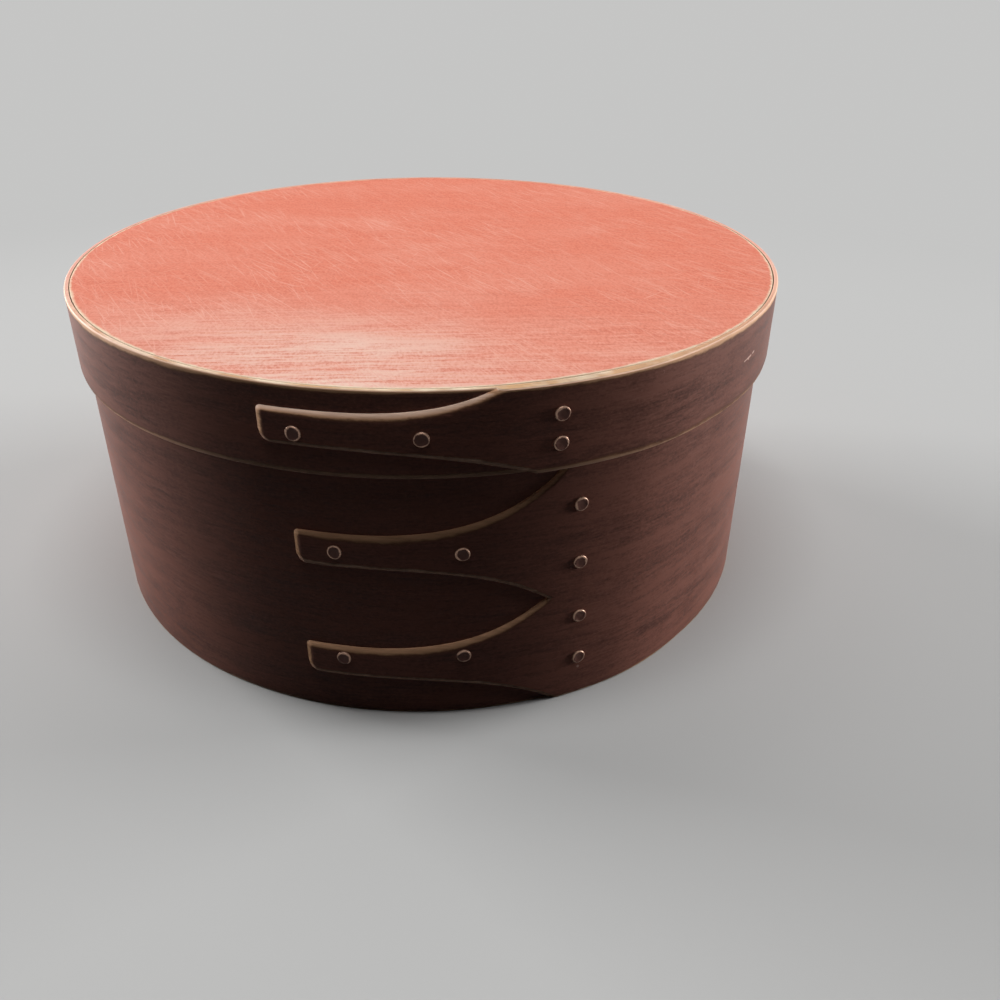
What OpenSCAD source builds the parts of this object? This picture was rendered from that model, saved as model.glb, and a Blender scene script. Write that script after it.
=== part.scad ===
// Round bentwood box with a lift-off lid, in millimetres.
// Each band is a thin strip of wood bent into a ring and lapped on itself at the front,
// where its outer end is cut into fingers that are tacked down.
// The box stands on z = 0 with its axis on z, and the laps face the front, which is -y.
// Angles run from the front towards +x. Places on a lap are measured along its outer face:
// positive to the right of the front, negative to the left, where the finger tips are.

/* [Box] */
// Outside diameter of the box wall where it is one layer thick
box_d = 248.9; // [220:0.1:300]
// Height of the box wall
box_h = 108.7; // [100:0.1:140]
// Thickness of both bent bands
band_t = 1.5; // [1.3:0.05:2]
// Thickness of the bottom board
bottom_t = 6; // [5:0.5:8]

/* [Lid] */
// Height of the lid's band
lid_band_h = 26.5; // [24:0.5:30]
// Thickness of the lid board
lid_board_t = 6; // [5:0.5:8]
// Least gap between the lid's band and the box wall
lid_gap = 0.31; // [0.31:0.01:0.6]
// Gap between a board's edge and the band around it
board_gap = 0.05; // [0.03:0.01:0.2]

/* [Box fingers] */
// How far the finger tips reach to the left of the front
box_finger_reach = 41.7; // [38:0.1:46]
// Height of a finger near its tip
box_finger_h = 10.9; // [10:0.1:13]
// How far left of the front the fingers start to widen
box_finger_flat = 24; // [18:0.5:30]
// How far right of the front the notch between the fingers ends
box_notch = 34.2; // [31:0.1:37]
// How far right of the front the lap's lower edge meets the bottom
box_foot = 37.7; // [33:0.1:39]
// How far right of the front the lap's upper edge meets the top
box_top_root = 52; // [46:0.5:56]
// Height left between the finger pattern and the lid
finger_head_room = 5.3; // [3:0.1:8]

/* [Lid finger] */
// How far the finger tip reaches to the left of the front
lid_finger_reach = 48.6; // [44:0.1:54]
// Height of the finger near its tip
lid_finger_h = 10.3; // [9:0.1:12]
// How far the finger's middle stands above the middle of the band
lid_finger_lift = 1.4; // [0:0.1:2]
// How far left of the front the finger's upper edge starts to rise
lid_finger_flat = 26; // [20:0.5:32]
// How far right of the front the finger's upper edge meets the top
lid_upper_root = 17.4; // [14:0.1:22]
// How far right of the front the finger's lower edge meets the rim
lid_lower_root = 28.5; // [25:0.1:30]

/* [Laps] */
// Corner radius at the top of a finger tip
tip_top_r = 1.5; // [1:0.1:3]
// Corner radius at the bottom of a finger tip
tip_bottom_r = 3.2; // [1:0.1:4]
// How far right of the front the outer layer starts to sink
lap_end = 60; // [56:1:70]
// Length over which the outer layer sinks into the single wall
lap_fade = 42; // [30:1:55]

/* [Tacks] */
// Diameter of a tack's head
tack_head_d = 4.7; // [3.5:0.1:5]
// Height of a tack's head
tack_head_h = 0.8; // [0.6:0.1:1]
// Diameter of a tack's shank
tack_shank_d = 1.1; // [0.8:0.1:1.2]
// Length of the tack's point, turned up inside the wood
tack_point_l = 2.4; // [1.5:0.1:3]
// How far left of the front the tacks near the box finger tips are
box_tip_tack = 30; // [27:0.1:34]
// How far right of the front the tacks near the box finger roots are
box_root_tack = 7.4; // [4:0.1:11]
// How far the lower finger's tacks stand above its middle, tip tack first
lower_tack_rise = [1.9, 3.6]; // [0:0.1:5]
// How far right of the front the middle of the box's seam tacks is
box_seam = 44.6; // [42:0.1:48]
// How far the seam tacks shift to the right for each millimetre down
box_seam_lean = 0.038; // [0:0.002:0.05]
// Height of the lowest seam tack
seam_tack_foot = 15.4; // [13:0.1:20]
// How far the highest seam tack is below the lid
seam_tack_drop = 14.5; // [8:0.1:18]
// How far up the column each seam tack is, from 0 at the foot to 1 at the top
seam_tack_spread = [0, 0.29, 0.645, 1]; // [0:0.005:1]
// How far left of the front the tack near the lid finger's tip is
lid_tip_tack = 38.4; // [34:0.1:42]
// How far left of the front the tack near the lid finger's root is
lid_root_tack = 3.5; // [0:0.1:7]
// How far right of the front the lid's seam tacks are
lid_seam = 35.1; // [33:0.1:38]
// Distance between the lid's two seam tacks
lid_seam_pitch = 9; // [7:0.1:11]

/* [Pegs] */
// Pegs that hold each board
peg_count = 8; // [5:1:10]
// Diameter of a peg
peg_d = 2; // [1.6:0.1:2.4]
// How deep a peg goes into the edge of its board
peg_bite = 9; // [6:0.5:14]
// Angle of the first peg, to the right of the front
peg_turn = 30; // [24:1:34]

/* [Hidden] */
$fn = 96;
wall_r = box_d / 2;
box_in_r = wall_r - band_t;
bottom_r = box_in_r - board_gap;
// The box is thicker by one layer at its lap, so the lid's ring is wider than the box
// by half a layer and stands half a layer towards the lap.
lid_shift = band_t / 2;
lid_in_r = wall_r + lid_shift + lid_gap;
lid_r = lid_in_r + band_t;
lid_board_r = lid_in_r - board_gap;
lid_z = box_h + lid_board_t - lid_band_h;

// Slack round a tack's shank and round a peg
tack_slack = 0.03;
peg_slack = 0.03;
// How far cutting shapes run past what they cut
over = 1;
// How far a lap's edge runs on past the edge of its band
run_out = 0.2;

box_lap_r = wall_r + band_t;
lid_lap_r = lid_r + band_t;
finger_pitch = (lid_z - finger_head_room) / 2;
lower_finger_z = finger_pitch / 2;
upper_finger_z = lower_finger_z + finger_pitch;
lid_finger_z = lid_band_h / 2 + lid_finger_lift;

// Shape of a finger's edge from flat to root: shares of its run and of its rise
edge_run = [0.56, 0.79];
edge_rise = [0, 0.4];
edge_steps = 14;
corner_steps = 4;

// A tack's point at the bend and at its tip, as shares of the shank's radius
point_share = 0.8;
tip_share = 0.3;
// Depth of a tack's bend: in the middle of the inner layer
tack_bend = 1.5 * band_t;

seam_tack_span = lid_z - seam_tack_drop - seam_tack_foot;
seam_tack_count = len(seam_tack_spread);

function numbered(name, count) = [for (i = [1 : count]) str(name, "_", i)];

wall_colour = [0.29, 0.18, 0.16];
lid_top_colour = [0.86, 0.50, 0.42];
bare_wood_colour = [0.72, 0.55, 0.38];
tack_colour = [0.45, 0.34, 0.29];

function turn_of(arc, r) = arc / r * 180 / PI;
function on_front(r, turn) = [r * sin(turn), -r * cos(turn)];

// The lid stands towards the middle of the part of the box's lap that it covers
lid_shift_xy = on_front(lid_shift, turn_of((box_notch + lap_end) / 2, box_lap_r));

function peg_angle(i) = peg_turn + (i - 1) * 360 / peg_count;

// Curve from a to d through the pull of b and c
function curve(a, b, c, d, steps) = [
    for (i = [0 : steps])
        let (t = i / steps, u = 1 - t)
            u * u * u * a + 3 * u * u * t * b + 3 * u * t * t * c + t * t * t * d
];

// Edge of a finger that leaves the flat and swings out to its root
function finger_edge(flat, root) =
    let (run = root[0] - flat[0], rise = root[1] - flat[1])
        curve(
            flat,
            flat + [run * edge_run[0], rise * edge_rise[0]],
            flat + [run * edge_run[1], rise * edge_rise[1]],
            root,
            edge_steps
        );

function corner(centre, r, from, to) = [
    for (i = [0 : corner_steps])
        let (a = from + (to - from) * i / corner_steps)
            centre + r * [cos(a), sin(a)]
];

// Rounded end of a finger, from its lower edge round to its upper edge
function finger_tip(reach, z, h) = concat(
    corner([tip_bottom_r - reach, z - h / 2 + tip_bottom_r], tip_bottom_r, 270, 180),
    corner([tip_top_r - reach, z + h / 2 - tip_top_r], tip_top_r, 180, 90)
);

function backwards(points) = [for (i = [len(points) - 1 : -1 : 0]) points[i]];
function past_first(points) = [for (i = [1 : len(points) - 1]) points[i]];

lap_right = lap_end + lap_fade + over;

// Outline of the box's outer layer, laid flat: along the wall, then up
function box_lap_outline() =
    let (
        half = box_finger_h / 2,
        low_flat = [-box_finger_flat, lower_finger_z],
        high_flat = [-box_finger_flat, upper_finger_z],
        notch = [box_notch, finger_pitch],
        shoulder = [box_notch, upper_finger_z + finger_pitch / 2],
        top = [box_top_root, box_h + run_out],
        swing = (top - shoulder) / 3
    )
    concat(
        [[box_foot, -over]],
        backwards(finger_edge(low_flat - [0, half], [box_foot, -run_out])),
        finger_tip(box_finger_reach, lower_finger_z, box_finger_h),
        finger_edge(low_flat + [0, half], notch),
        past_first(backwards(finger_edge(high_flat - [0, half], notch))),
        finger_tip(box_finger_reach, upper_finger_z, box_finger_h),
        finger_edge(high_flat + [0, half], shoulder),
        past_first(curve(
            shoulder,
            shoulder + [swing[0], swing[0]],
            top - [swing[0] / 2, swing[1]],
            top,
            edge_steps / 2
        )),
        [[box_top_root, box_h + over], [lap_right, box_h + over], [lap_right, -over]]
    );

// Outline of the lid's outer layer, laid flat
function lid_lap_outline() =
    let (half = lid_finger_h / 2)
    concat(
        [[lid_lower_root, -over]],
        backwards(finger_edge([tip_bottom_r - lid_finger_reach, lid_finger_z - half], [lid_lower_root, -run_out])),
        past_first(finger_tip(lid_finger_reach, lid_finger_z, lid_finger_h)),
        finger_edge([-lid_finger_flat, lid_finger_z + half], [lid_upper_root, lid_band_h + run_out]),
        [[lid_upper_root, lid_band_h + over], [lap_right, lid_band_h + over], [lap_right, -over]]
    );

// Plan of a lap: a ring's outline one layer further out, which then sinks back to the ring
module lap_plan(r, reach) {
    lap_r = r + band_t;
    left = turn_of(-reach - over, lap_r);
    end = turn_of(lap_end, lap_r);
    fade = turn_of(lap_fade, lap_r);
    fade_shift = (lap_r * lap_r - r * r) / (2 * (lap_r - r * cos(fade)));
    fade_r = lap_r - fade_shift;
    far = 2 * lap_r;
    intersection() {
        circle(lap_r);
        polygon([[0, 0], on_front(far, left), on_front(far, end)]);
    }
    intersection() {
        translate(on_front(fade_shift, end)) circle(fade_r);
        polygon([[0, 0], on_front(far, end), on_front(far, end + fade + over)]);
    }
}

// A ring filled to its axis, with the outer layer of its lap. The layer's outline is cut
// straight towards the seam, so its edges are square there and slope more near the tips.
module filled_band(r, h, outline, reach, seam) {
    lap_r = r + band_t;
    seam_turn = turn_of(seam, lap_r);
    cut = [for (p = outline) [lap_r * sin(turn_of(p[0], lap_r) - seam_turn), p[1]]];
    cylinder(h = h, r = r);
    intersection() {
        linear_extrude(h) lap_plan(r, reach);
        rotate([0, 0, seam_turn]) rotate([90, 0, 0]) linear_extrude(lap_r + over) polygon(cut);
    }
}

module filled_body_band() {
    filled_band(wall_r, box_h, box_lap_outline(), box_finger_reach, box_seam);
}

module filled_lid_band() {
    filled_band(lid_r, lid_band_h, lid_lap_outline(), lid_finger_reach, lid_seam);
}

// Places a child on a wall: its z points out of the wall and its y points up
module on_wall(r, turn, z) {
    rotate([0, 0, turn]) translate([0, -r, z]) rotate([90, 0, 0]) children();
}

// A tack's shank through both layers and its slimmer point, turned up inside the inner layer
module tack_shank(slack) {
    shank_r = tack_shank_d / 2 + slack;
    translate([0, 0, -tack_bend - shank_r]) cylinder(h = tack_bend + shank_r + slack, r = shank_r);
    translate([0, 0, -tack_bend])
        rotate([-90, 0, 0])
            cylinder(h = tack_point_l + slack, r1 = point_share * shank_r, r2 = tip_share * shank_r);
}

module tack() {
    head_r = tack_head_d / 2;
    edge_h = tack_head_h / 2;
    color(tack_colour) {
        cylinder(h = edge_h, r = head_r);
        translate([0, 0, edge_h]) cylinder(h = tack_head_h - edge_h, r1 = head_r, r2 = head_r - edge_h);
        tack_shank(0);
    }
}

// Place of each tack on its lap: along the wall, then up
function upper_tack_at(i) = [i == 1 ? -box_tip_tack : box_root_tack, upper_finger_z];
function lower_tack_at(i) = [i == 1 ? -box_tip_tack : box_root_tack, lower_finger_z + lower_tack_rise[i - 1]];
function seam_tack_at(i) =
    let (up = seam_tack_span * seam_tack_spread[i - 1])
        [box_seam + box_seam_lean * (seam_tack_span / 2 - up), seam_tack_foot + up];
function lid_finger_tack_at(i) = [i == 1 ? -lid_tip_tack : -lid_root_tack, lid_band_h / 2];
function lid_seam_tack_at(i) = [lid_seam, lid_band_h / 2 + (i - 1.5) * lid_seam_pitch];

module on_box_lap(at) {
    on_wall(box_lap_r, turn_of(at[0], box_lap_r), at[1]) children();
}

module on_lid_lap(at) {
    on_wall(lid_lap_r, turn_of(at[0], lid_lap_r), at[1]) children();
}

// Moves a child from the lid's own frame to its place on the box
module on_box() {
    translate([lid_shift_xy[0], lid_shift_xy[1], lid_z]) children();
}

// A peg's bore, from inside a board's edge to outside the wall
module peg_bore(board_r, outer_r, turn, z, slack) {
    on_wall(board_r - peg_bite, turn, z) cylinder(h = outer_r - board_r + peg_bite + over, d = peg_d + 2 * slack);
}

module bottom_peg_bore(i, slack) {
    peg_bore(bottom_r, box_lap_r, peg_angle(i), bottom_t / 2, slack);
}

module lid_peg_bore(i, slack) {
    peg_bore(lid_board_r, lid_lap_r, peg_angle(i), lid_band_h - lid_board_t / 2, slack);
}

module body_band() {
    color(wall_colour) difference() {
        filled_body_band();
        translate([0, 0, -over]) cylinder(h = box_h + 2 * over, r = box_in_r);
        for (i = [1, 2]) {
            on_box_lap(upper_tack_at(i)) tack_shank(tack_slack);
            on_box_lap(lower_tack_at(i)) tack_shank(tack_slack);
        }
        for (i = [1 : seam_tack_count]) on_box_lap(seam_tack_at(i)) tack_shank(tack_slack);
        for (i = [1 : peg_count]) bottom_peg_bore(i, peg_slack);
    }
}

module bottom_board() {
    color(bare_wood_colour) difference() {
        cylinder(h = bottom_t, r = bottom_r);
        for (i = [1 : peg_count]) bottom_peg_bore(i, peg_slack);
    }
}

module lid_band() {
    color(wall_colour) on_box() difference() {
        filled_lid_band();
        translate([0, 0, -over]) cylinder(h = lid_band_h + 2 * over, r = lid_in_r);
        for (i = [1, 2]) {
            on_lid_lap(lid_finger_tack_at(i)) tack_shank(tack_slack);
            on_lid_lap(lid_seam_tack_at(i)) tack_shank(tack_slack);
        }
        for (i = [1 : peg_count]) lid_peg_bore(i, peg_slack);
    }
}

module lid_board() {
    color(lid_top_colour) on_box() difference() {
        translate([0, 0, lid_band_h - lid_board_t]) cylinder(h = lid_board_t, r = lid_board_r);
        for (i = [1 : peg_count]) lid_peg_bore(i, peg_slack);
    }
}

// Pegs are trimmed flush with the outside of the wall
module bottom_peg(i) {
    color(bare_wood_colour) intersection() {
        bottom_peg_bore(i, 0);
        filled_body_band();
    }
}

module lid_peg(i) {
    color(bare_wood_colour) on_box() intersection() {
        lid_peg_bore(i, 0);
        filled_lid_band();
    }
}

body_band();
bottom_board();
lid_band();
lid_board();
for (i = [1, 2]) {
    on_box_lap(upper_tack_at(i)) tack();
    on_box_lap(lower_tack_at(i)) tack();
    on_box() on_lid_lap(lid_finger_tack_at(i)) tack();
    on_box() on_lid_lap(lid_seam_tack_at(i)) tack();
}
for (i = [1 : seam_tack_count]) {
    on_box_lap(seam_tack_at(i)) tack();
}
for (i = [1 : peg_count]) {
    bottom_peg(i);
    lid_peg(i);
}
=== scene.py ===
import math

import bmesh
import bpy
import numpy as np
from mathutils import Matrix, Vector


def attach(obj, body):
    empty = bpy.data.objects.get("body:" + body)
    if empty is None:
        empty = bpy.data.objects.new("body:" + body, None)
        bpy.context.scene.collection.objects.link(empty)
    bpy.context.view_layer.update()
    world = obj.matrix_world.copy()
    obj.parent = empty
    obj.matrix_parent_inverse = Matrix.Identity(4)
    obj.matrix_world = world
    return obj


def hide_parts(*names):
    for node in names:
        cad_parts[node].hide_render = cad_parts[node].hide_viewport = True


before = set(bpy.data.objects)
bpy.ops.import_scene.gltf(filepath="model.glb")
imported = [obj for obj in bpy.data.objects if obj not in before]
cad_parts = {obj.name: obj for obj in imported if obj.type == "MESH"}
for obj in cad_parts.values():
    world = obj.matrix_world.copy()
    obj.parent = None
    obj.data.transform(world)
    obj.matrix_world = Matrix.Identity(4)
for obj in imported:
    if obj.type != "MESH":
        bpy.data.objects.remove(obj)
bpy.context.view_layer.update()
print("frame loaded:", len(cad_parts), "nodes")

mm = 0.001
random = np.random.default_rng(41)


# small helpers for working in edit mode


def deselectAll():
    if bpy.context.mode != "OBJECT":
        bpy.ops.object.mode_set(mode="OBJECT")
    bpy.ops.object.select_all(action="DESELECT")


def edit(obj):
    deselectAll()
    obj.select_set(True)
    bpy.context.view_layer.objects.active = obj
    bpy.ops.object.mode_set(mode="EDIT")
    bpy.ops.mesh.select_all(action="SELECT")


def done():
    bpy.ops.object.mode_set(mode="OBJECT")


def pick(obj, kind, test):
    bpy.ops.mesh.select_mode(type=kind)
    bpy.ops.mesh.select_all(action="DESELECT")
    bm = bmesh.from_edit_mesh(obj.data)
    items = {"VERT": bm.verts, "EDGE": bm.edges, "FACE": bm.faces}[kind]
    for item in items:
        if test(item):
            item.select_set(True)
    bm.select_flush_mode()
    bmesh.update_edit_mesh(obj.data)


def middle(item):
    return sum((v.co for v in item.verts), Vector()) / len(item.verts)


def tidyMesh(obj, near=1e-6):
    edit(obj)
    bpy.ops.mesh.remove_doubles(threshold=near)
    bpy.ops.mesh.normals_make_consistent(inside=False)
    done()


def smooth(obj, angle):
    deselectAll()
    obj.select_set(True)
    bpy.context.view_layer.objects.active = obj
    bpy.ops.object.shade_smooth_by_angle(angle=math.radians(angle))


def points(obj):
    co = np.empty(len(obj.data.vertices) * 3)
    obj.data.vertices.foreach_get("co", co)
    return co.reshape(-1, 3)


def movePoints(obj, co):
    obj.data.vertices.foreach_set("co", np.asarray(co, np.float32).ravel())
    obj.data.update()


def keepValue(obj, name, values):
    layer = obj.data.attributes.get(name) or obj.data.attributes.new(name, "FLOAT", "POINT")
    layer.data.foreach_set("value", np.asarray(values, np.float32))


def joined(parts, name):
    deselectAll()
    for part in parts:
        part.select_set(True)
    bpy.context.view_layer.objects.active = parts[0]
    bpy.ops.object.join()
    obj = bpy.context.view_layer.objects.active
    obj.name = name
    obj.data.name = name
    return obj


def dress(obj, body, slot, *nodes):
    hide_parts(*nodes)
    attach(obj, body)


# materials


def node(tree, kind, inputs=None, **settings):
    made = tree.nodes.new(kind)
    for key, value in settings.items():
        setattr(made, key, value)
    for key, value in (inputs or {}).items():
        socket = made.inputs[key]
        if isinstance(value, bpy.types.NodeSocket):
            tree.links.new(value, socket)
        else:
            socket.default_value = value
    return made


def vectorMath(tree, how, a, b):
    return node(tree, "ShaderNodeVectorMath", {0: a, 1: b}, operation=how)


def noise(tree, place, stretch, detail=3, rough=0.55, bend=0.0, turn=0.0, shift=(0, 0, 0)):
    laid = node(tree, "ShaderNodeMapping", {
        "Vector": place,
        "Location": shift,
        "Rotation": (0, 0, math.radians(-turn)),
    })
    made = node(tree, "ShaderNodeTexNoise", {
        "Vector": vectorMath(tree, "MULTIPLY", laid.outputs[0], stretch).outputs[0],
        "Scale": 1,
        "Detail": detail,
        "Roughness": rough,
        "Distortion": bend,
    })
    return made.outputs["Fac"]


def fit(tree, value, low, high, out=(0, 1), curve="LINEAR"):
    made = node(tree, "ShaderNodeMapRange", {
        "Value": value,
        "From Min": low,
        "From Max": high,
        "To Min": out[0],
        "To Max": out[1],
    }, interpolation_type=curve)
    return made.outputs[0]


def sums(tree, how, a, b, c=0.0):
    made = node(tree, "ShaderNodeMath", {0: a, 1: b, 2: c}, operation=how)
    return made.outputs[0]


def sway(tree, value, amount, base):
    # a value round a half moves the base up and down
    return sums(tree, "MULTIPLY_ADD", sums(tree, "SUBTRACT", value, 0.5), amount, base)


def blendColour(tree, share, a, b):
    made = node(tree, "ShaderNodeMix", {"Factor": share}, data_type="RGBA")
    for name, value in (("A", a), ("B", b)):
        socket = [s for s in made.inputs if s.name == name and s.type == "RGBA"][0]
        if isinstance(value, bpy.types.NodeSocket):
            tree.links.new(value, socket)
        else:
            socket.default_value = value
    return [s for s in made.outputs if s.type == "RGBA"][0]


def colourSteps(tree, value, steps):
    made = node(tree, "ShaderNodeValToRGB", {"Fac": value})
    ramp = made.color_ramp.elements
    while len(ramp) < len(steps):
        ramp.new(0.5)
    for stop, (place, colour) in zip(ramp, steps):
        stop.position = place
        stop.color = colour
    return made.outputs["Color"]


def stored(tree, name):
    return node(tree, "ShaderNodeAttribute", attribute_name=name).outputs["Fac"]


def layered(tree, place, layers):
    # noises laid over each other, with the tone and the relief that they add up to
    made = {}
    tone = 0.0
    relief = 0.0
    for name, (stretch, detail, rough, bend, toneShare, reliefShare) in layers.items():
        made[name] = noise(tree, place, stretch, detail, rough, bend)
        tone = sums(tree, "MULTIPLY_ADD", made[name], toneShare, tone)
        relief = sums(tree, "MULTIPLY_ADD", made[name], reliefShare, relief)
    return made, tone, relief


def newMaterial(name, shine=0.5):
    material = bpy.data.materials.new(name)
    material.use_nodes = True
    tree = material.node_tree
    shader = tree.nodes["Principled BSDF"]
    shader.inputs["Specular IOR Level"].default_value = shine
    place = node(tree, "ShaderNodeTexCoord").outputs["Object"]
    return material, tree, shader, place


def bump(tree, shader, height, strength, distance):
    values = {"Height": height, "Strength": strength, "Distance": distance}
    made = node(tree, "ShaderNodeBump", values)
    tree.links.new(made.outputs[0], shader.inputs["Normal"])


# in the settings below, names that end in At hold what fit takes: low, high, result, curve

wear = {
    "ragged": ((170, 170, 500), 4, 0.65), "raggedShare": 0.8,
    "uneven": ((36, 36, 60), 3, 0.5), "unevenShare": 0.7,
    "stain": (0.15, 0.066, 0.034, 1), "stainAt": (-0.05, 0.30, (0, 0.75), "SMOOTHSTEP"),
    "openAt": (0.18, 0.62, (0, 1), "SMOOTHSTEP"),
    "woods": (   # from edges that face down, painted brightest against their shade, over plain worn ones, to the bare top rim with a painted highlight on its arris
        (0.0, (0.95, 0.600, 0.450, 1)),
        (0.5, (0.38, 0.200, 0.105, 1)),
        (0.68, (0.77, 0.435, 0.255, 1)),
        (0.87, (0.98, 0.690, 0.540, 1)),
        (1.0, (0.97, 0.820, 0.600, 1)),
    ),
    "gold": (0.56, 0.285, 0.105, 1), "gilding": ((70, 70, 110), 3, 0.6),
    "goldSideAt": (-0.06, 0.09, (-0.05, 0.13)),   # more gold to the right
    "goldAt": (0.40, 0.58, (0, 0.8)), "goldPaleAt": (0.8, 0.95),
    "grain": ((70, 70, 1400), 3, 0.6), "grainAt": (0.42, 0.75, (0, 0.38)),
    "coatAt": (0.30, 0.48, (0.6, 1)),
}
# the bands' paint: the same red paint as the lid board's, painted much darker here, on the box's
# sides, as shade
bandFinish = {
    "dark": (0.086, 0.0324, 0.0238, 1),
    "light": (0.188, 0.0740, 0.0535, 1),
    "layers": {   # stretch, detail, roughness, bend, share of the tone, share of the relief
        "fine": ((140, 140, 1300), 3, 0.6, 0.3, 0.55, 0.3),
        "middling": ((75, 75, 520), 4, 0.6, 0.5, 0.65, 0.8),
        "broad": ((11, 11, 105), 3, 0.5, 0.8, 0.78, 0.8),
        "patch": ((17, 17, 26), 3, 0.55, 0.0, 0.20, 0.0),
        "mottle": ((800, 800, 1400), 3, 0.6, 0.0, 0.70, 0.3),
    },
    "toneAt": (1.16, 1.57),
    "rub": (0.27, 0.130, 0.100, 1),
    "scuffAt": (0.54, 0.70, (0, 0.25)), "scuffPatchAt": (0.46, 0.64),
    "speckAt": (0.64, 0.74, (0, 0.30)),
    "glossAt": (1.10, 1.60, (0.36, 0.54)), "bareGloss": 0.10, "shine": 0.1,
    "bump": (0.35, 0.00025), "bareRelief": -0.3,
    "coat": (0.87, 0.440, 0.345, 1),
    "mark": (0.62, 0.400, 0.330, 1), "markCore": 0.3,
    "marks": (   # two ends in millimetres, width, strength
        ((98.70, -80.97, 101.6), (100.36, -78.90, 101.8), 0.34, 0.8),
        ((100.36, -78.90, 101.8), (101.97, -76.78, 102.0), 0.46, 0.9),
        ((100.36, -78.90, 101.8), (101.04, -78.02, 101.2), 0.34, 0.6),
        ((102.90, -75.53, 102.3), (103.55, -74.63, 102.5), 0.46, 0.9),
        ((44.80, -117.72, 11.2), (44.90, -117.68, 11.0), 0.62, 0.55),
    ),
}


def strokeAway(tree, place, start, end):
    # how far a point is from a short straight stroke
    first = Vector(start) * mm
    along = Vector(end) * mm - first
    here = vectorMath(tree, "SUBTRACT", place, first).outputs[0]
    run = vectorMath(tree, "DOT_PRODUCT", here, along).outputs["Value"]
    share = fit(tree, run, 0, along.length_squared)
    near = node(tree, "ShaderNodeVectorMath", {0: along, "Scale": share}, operation="SCALE")
    return vectorMath(tree, "DISTANCE", here, near.outputs[0]).outputs["Value"]


def bandPaint():
    material, tree, shader, place = newMaterial("bandPaint", bandFinish["shine"])
    layers, tone, height = layered(tree, place, bandFinish["layers"])
    shade = fit(tree, tone, *bandFinish["toneAt"])
    colour = blendColour(tree, shade, bandFinish["dark"], bandFinish["light"])
    scuff = fit(tree, layers["fine"], *bandFinish["scuffAt"])
    scuff = sums(tree, "MULTIPLY", scuff, fit(tree, layers["patch"], *bandFinish["scuffPatchAt"]))
    colour = blendColour(tree, scuff, colour, bandFinish["rub"])
    speck = fit(tree, layers["mottle"], *bandFinish["speckAt"])
    colour = blendColour(tree, speck, colour, bandFinish["rub"])
    for start, end, wide, strong in bandFinish["marks"]:
        away = strokeAway(tree, place, start, end)
        mark = fit(tree, away, wide * mm, bandFinish["markCore"] * wide * mm, (0, strong))
        colour = blendColour(tree, mark, colour, bandFinish["mark"])
    # paint rubbed through along the edges, down to stained and then bare wood
    pale = stored(tree, "pale")
    ragged = noise(tree, place, *wear["ragged"])
    uneven = noise(tree, place, *wear["uneven"])
    bare = sway(tree, ragged, wear["raggedShare"], stored(tree, "rub"))
    bare = sway(tree, uneven, wear["unevenShare"], bare)
    stained = fit(tree, bare, *wear["stainAt"])
    opened = fit(tree, bare, *wear["openAt"])
    # the bare wood's tint holds painted light: a painted highlight on the top arris and on edges that
    # face up, and edges that face down painted bright against their shade
    wood = colourSteps(tree, fit(tree, pale, -1, 1), wear["woods"])
    side = node(tree, "ShaderNodeSeparateXYZ", {0: place}).outputs["X"]
    gilded = noise(tree, place, *wear["gilding"])
    gilded = sums(tree, "ADD", gilded, fit(tree, side, *wear["goldSideAt"]))
    gilded = fit(tree, gilded, *wear["goldAt"])
    gilded = sums(tree, "MULTIPLY", gilded, fit(tree, pale, *wear["goldPaleAt"]))
    wood = blendColour(tree, gilded, wood, wear["gold"])
    grain = fit(tree, noise(tree, place, *wear["grain"]), *wear["grainAt"])
    wood = blendColour(tree, grain, wood, wear["stain"])
    colour = blendColour(tree, stained, colour, wear["stain"])
    colour = blendColour(tree, opened, colour, wood)
    # the lid's own paint on top of its rim, in a light colour painted, like the lid board's, as if
    # lit from above
    coat = sums(tree, "MULTIPLY", stored(tree, "coat"), fit(tree, ragged, *wear["coatAt"]))
    colour = blendColour(tree, coat, colour, bandFinish["coat"])
    tree.links.new(colour, shader.inputs["Base Color"])
    gloss = fit(tree, tone, *bandFinish["glossAt"])
    gloss = sums(tree, "MULTIPLY_ADD", opened, bandFinish["bareGloss"], gloss)
    tree.links.new(gloss, shader.inputs["Roughness"])
    height = sums(tree, "MULTIPLY_ADD", opened, bandFinish["bareRelief"], height)
    bump(tree, shader, height, *bandFinish["bump"])
    return material


# the lid board's paint: the same red paint as the bands', painted much lighter here, as if the top
# were lit from above
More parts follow.
